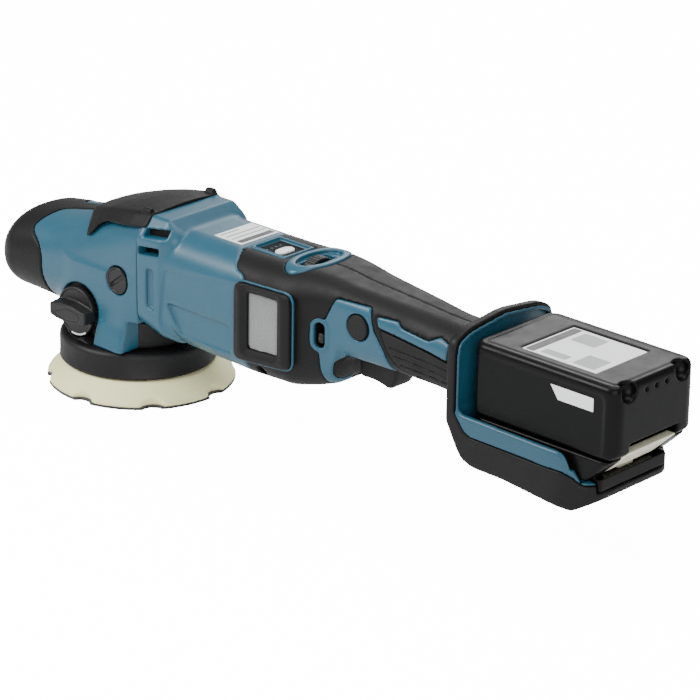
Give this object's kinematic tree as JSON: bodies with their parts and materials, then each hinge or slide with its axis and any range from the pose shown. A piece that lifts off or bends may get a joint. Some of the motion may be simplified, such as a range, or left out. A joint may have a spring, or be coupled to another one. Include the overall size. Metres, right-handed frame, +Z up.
{
  "type": "dual action polisher",
  "caption": "Cordless dual action polisher: foam backing pad on an eccentric geared drive, soft nose grip, motor housing, slim handle with trigger and slide-on battery.",
  "frame": {"origin": "centre of the backing pad's working face on the drive spindle axis, at rest", "axes": "+Z up out of the head along the spindle, +X back along the handle to the battery, -Y the tool's left side"},
  "size_m": [0.527, 0.1228, 0.1309],
  "materials": {
    "shell_teal": "satin moulded plastic, fine texture",
    "rubber_black": "soft matte moulded-on rubber",
    "plastic_black": "fine satin texture",
    "battery_black": "satin with polished edges",
    "plastic_cream": "semi gloss",
    "pad_foam": "matte moulded polyurethane foam",
    "hook_fabric": "hook fabric",
    "gear_steel": "machined, oiled",
    "bearing_steel": "ground",
    "case_aluminium": "die cast, sand blasted",
    "screw_steel": "black oxide",
    "copper": "enamelled wire",
    "screen_metal": "fine woven screen",
    "board_green": "circuit board",
    "wire_red": "insulated wire",
    "cell_wrap": "shrink-wrapped cell",
    "button_white": "semi gloss",
    "plate_composite": "glass-filled plate"
  },
  "bodies": {
    "housing": {"ring_gear": "gear_steel", "lower_spindle_bearing": "bearing_steel", "upper_spindle_bearing": "bearing_steel", "stator": "gear_steel", "windings": "copper", "front_motor_bearing": "bearing_steel", "rear_motor_bearing": "bearing_steel", "motor_bracket": "plastic_black", "gear_case": "case_aluminium", "head_housing": "shell_teal", "nose_grip": "rubber_black", "top_bumper": "rubber_black", "side_cap": "plastic_black", "pad_shroud": "rubber_black", "motor_housing": "shell_teal", "filter_frames": "rubber_black", "filter_screens": "screen_metal", "indicator_panel": "shell_teal", "control_board": "board_green", "dial_bezel": "shell_teal", "handle_left": "rubber_black", "handle_right": "rubber_black", "side_panel_left": "shell_teal", "side_panel_right": "shell_teal", "grip_pads": "rubber_black", "accent_strips": "shell_teal", "trigger_pin": "gear_steel", "switch": "plastic_black", "trigger_spring": "gear_steel", "controller": "case_aluminium", "wiring": "wire_red", "housing_screws": "screw_steel", "base_frame": "shell_teal", "base_bumper": "rubber_black", "terminal_block": "plastic_black"},
    "spindle": {"spindle": "gear_steel", "counterweight": "gear_steel", "crown_gear": "gear_steel", "spindle_nut": "gear_steel", "pad_bearing": "bearing_steel"},
    "pad": {"pad_shaft": "gear_steel", "hub_gear": "gear_steel", "pad_plate": "plate_composite", "backing_pad": "pad_foam", "hook_face": "hook_fabric", "pad_bolt": "screw_steel"},
    "rotor": {"motor_shaft": "gear_steel", "rotor": "gear_steel", "pinion": "gear_steel", "cooling_fan": "plastic_black"},
    "mode_knob": {"mode_knob": "plastic_black"},
    "trigger": {"trigger": "plastic_black"},
    "lock_button": {"lock_button": "plastic_black"},
    "lock_slider": {"lock_slider": "plastic_black"},
    "speed_dial": {"speed_dial": "plastic_black"},
    "panel_button": {"panel_button": "button_white"},
    "battery": {"battery_case": "battery_black", "battery_lid": "battery_black", "battery_cells": "cell_wrap"},
    "battery_button": {"battery_button": "plastic_cream"}
  },
  "joints": [
    {"name": "spindle_spin", "type": "hinge", "parent": "housing", "child": "spindle", "pos_m": [0, 0, 0.05], "axis": [0, 0, 1], "continuous": true},
    {"name": "pad_spin", "type": "hinge", "parent": "spindle", "child": "pad", "pos_m": [0.00275, 0, 0.03], "axis": [0, 0, 1], "continuous": true},
    {"name": "motor_spin", "type": "hinge", "parent": "housing", "child": "rotor", "pos_m": [0.05, 0, 0.087], "axis": [1, 0, 0], "continuous": true},
    {"name": "mode_knob_turn", "type": "hinge", "parent": "housing", "child": "mode_knob", "pos_m": [-0.014, -0.04, 0.051], "axis": [0, 1, 0], "range_deg": [0, 120]},
    {"name": "trigger_pull", "type": "hinge", "parent": "housing", "child": "trigger", "pos_m": [0.206, 0, 0.079], "axis": [0, -1, 0], "range_deg": [0, 7], "stiffness_Nm_per_rad": 1, "deforming": ["trigger_spring"]},
    {"name": "lock_button_press", "type": "slide", "parent": "housing", "child": "lock_button", "axis": [0, 1, 0], "range_m": [0, 0.0035]},
    {"name": "lock_slider_move", "type": "slide", "parent": "housing", "child": "lock_slider", "axis": [0, 0, 1], "range_m": [0, 0.005]},
    {"name": "speed_dial_turn", "type": "hinge", "parent": "housing", "child": "speed_dial", "pos_m": [0.159, 0, 0.109], "axis": [1, 0, 0], "range_deg": [-120, 120]},
    {"name": "panel_button_press", "type": "slide", "parent": "housing", "child": "panel_button", "axis": [0, 0, -1], "range_m": [0, 0.0008]},
    {"name": "battery_slide", "type": "slide", "parent": "housing", "child": "battery", "axis": [1, 0, 0], "range_m": [0, 0.09]},
    {"name": "battery_button_press", "type": "slide", "parent": "battery", "child": "battery_button", "axis": [0, 0, 1], "range_m": [0, 0.005]}
  ],
  "couplings": [
    {"joint": "pad_spin", "follows": "spindle_spin", "ratio": -1.1136},
    {"joint": "motor_spin", "follows": "spindle_spin", "ratio": 2.5}
  ]
}
